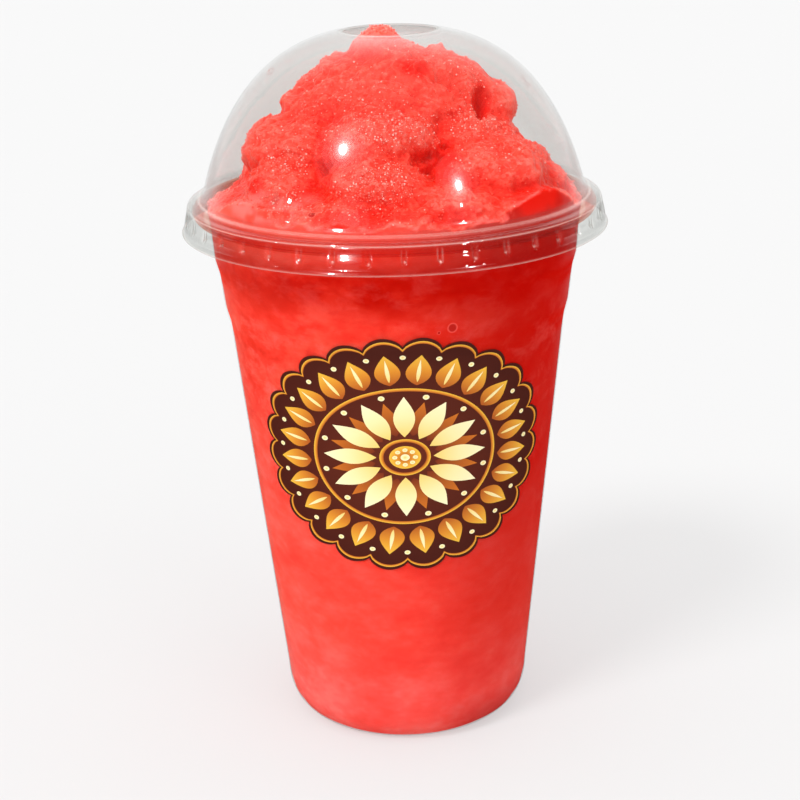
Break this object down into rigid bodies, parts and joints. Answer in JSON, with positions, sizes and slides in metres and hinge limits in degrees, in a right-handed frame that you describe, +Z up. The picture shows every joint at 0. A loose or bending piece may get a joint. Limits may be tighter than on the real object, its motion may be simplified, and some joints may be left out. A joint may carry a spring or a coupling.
{
  "type": "strawberry smoothie",
  "caption": "Clear tapered plastic cup filled with red frozen strawberry drink that heaps up under a clear domed lid with a hole at its top.",
  "frame": {"origin": "on the cup's axis at the height of the surface it stands on", "axes": "+Z up along the cup's axis, -Y towards the front of the cup, where the print is, +X to the right seen from the front"},
  "size_m": [0.1036, 0.1036, 0.1747],
  "materials": {
    "clear_cup": "clear thermoformed PET, glossy",
    "clear_lid": "clear thermoformed PET, glossy, faintly grey",
    "smoothie": "wet granular crushed ice in strawberry syrup",
    "print": "screen-printed ink in dark brown, gold and cream"
  },
  "bodies": {
    "root": {"cup": "clear_cup", "lid": "clear_lid", "smoothie": "smoothie"}
  },
  "joints": []
}
